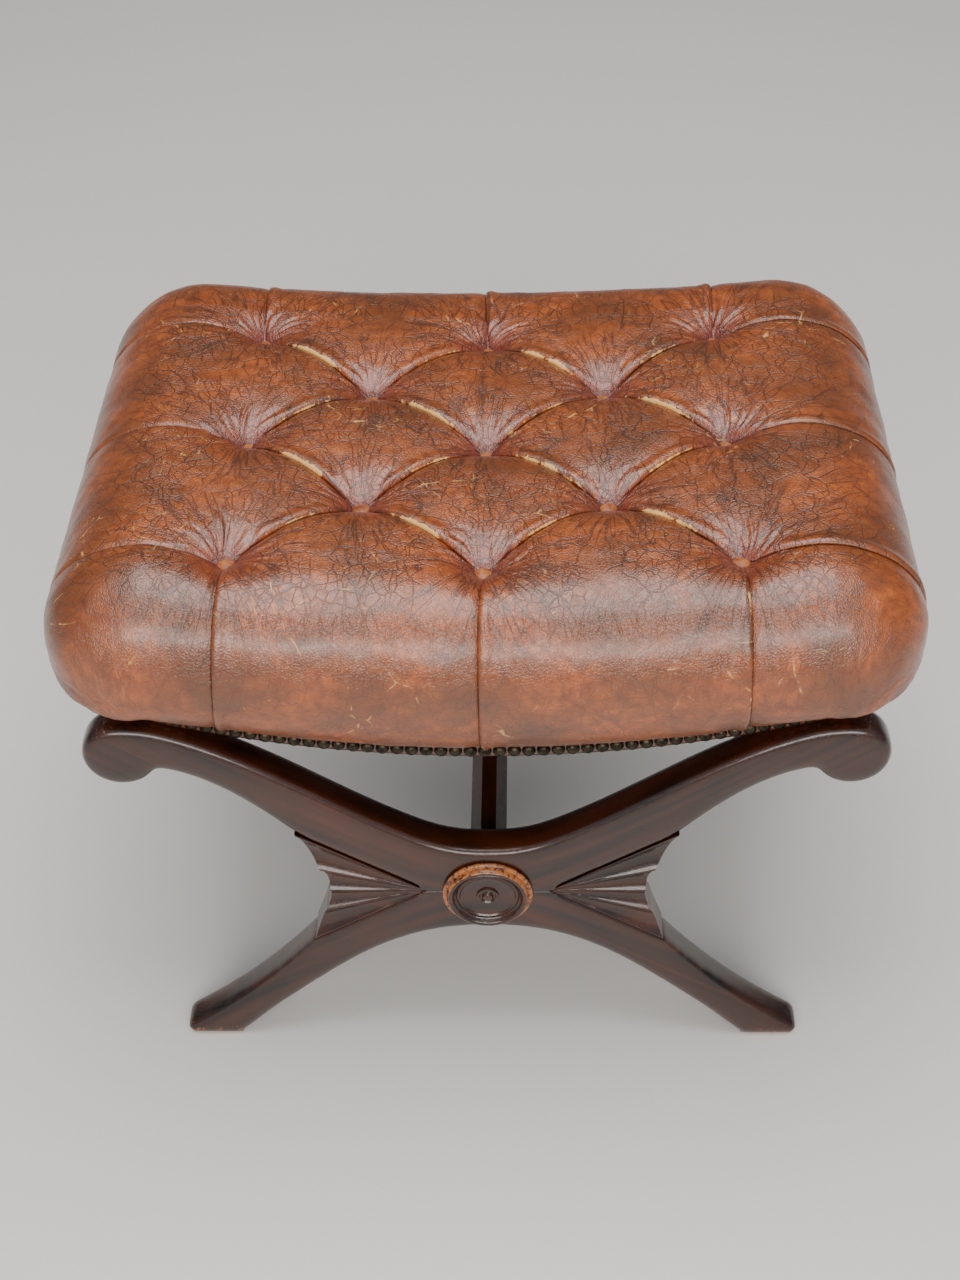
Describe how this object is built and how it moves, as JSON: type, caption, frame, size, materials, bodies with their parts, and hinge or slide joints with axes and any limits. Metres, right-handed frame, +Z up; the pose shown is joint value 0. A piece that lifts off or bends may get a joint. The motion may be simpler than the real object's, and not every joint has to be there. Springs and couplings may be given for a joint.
{
  "type": "footstool",
  "caption": "Buttoned leather footstool: a padded seat with studded edges on two crossed wooden frames joined by a stretcher.",
  "frame": {"origin": "on the ground under the middle of the stool", "axes": "+X along the seat's length, -Y is the front, +Z up"},
  "size_m": [0.6, 0.43, 0.456],
  "materials": {
    "wood": "French-polished mahogany, dark, glossy, worn at the edges",
    "beech": "raw planed beech",
    "leather": "aged chestnut aniline leather, waxed, rubbed at the pleats",
    "antique_bronze": "antiqued bronze, dark, semi-gloss",
    "screw_steel": "plain steel",
    "tack_steel": "blued steel",
    "webbing": "woven jute webbing",
    "hessian": "plain-weave jute hessian",
    "stuffing": "hair and felt stuffing",
    "twine": "waxed linen twine",
    "felt": "wool felt",
    "black_cloth": "black cambric"
  },
  "bodies": {
    "root": {"front_upper_arch": "wood", "back_upper_arch": "wood", "front_lower_arch": "wood", "back_lower_arch": "wood", "front_fan_right": "wood", "back_fan_right": "wood", "front_fan_left": "wood", "back_fan_left": "wood", "front_roundel": "wood", "back_roundel": "wood", "front_dowels": "beech", "back_dowels": "beech", "stretcher": "wood", "stretcher_screws": "screw_steel", "seat_screws": "screw_steel", "seat_rail_front": "beech", "seat_rail_back": "beech", "seat_rail_right": "beech", "seat_rail_left": "beech", "rail_dowels": "beech", "corner_blocks": "beech", "corner_block_screws": "screw_steel", "webbing_lengthwise": "webbing", "webbing_crosswise": "webbing", "webbing_tacks": "tack_steel", "hessian": "hessian", "foam_pad": "stuffing", "leather_cover": "leather", "seat_buttons": "leather", "button_twine": "twine", "button_washers": "felt", "dust_cover": "black_cloth", "dust_cover_tacks": "tack_steel", "stud_nails_front": "antique_bronze", "stud_nails_back": "antique_bronze", "stud_nails_right": "antique_bronze", "stud_nails_left": "antique_bronze"}
  },
  "joints": []
}
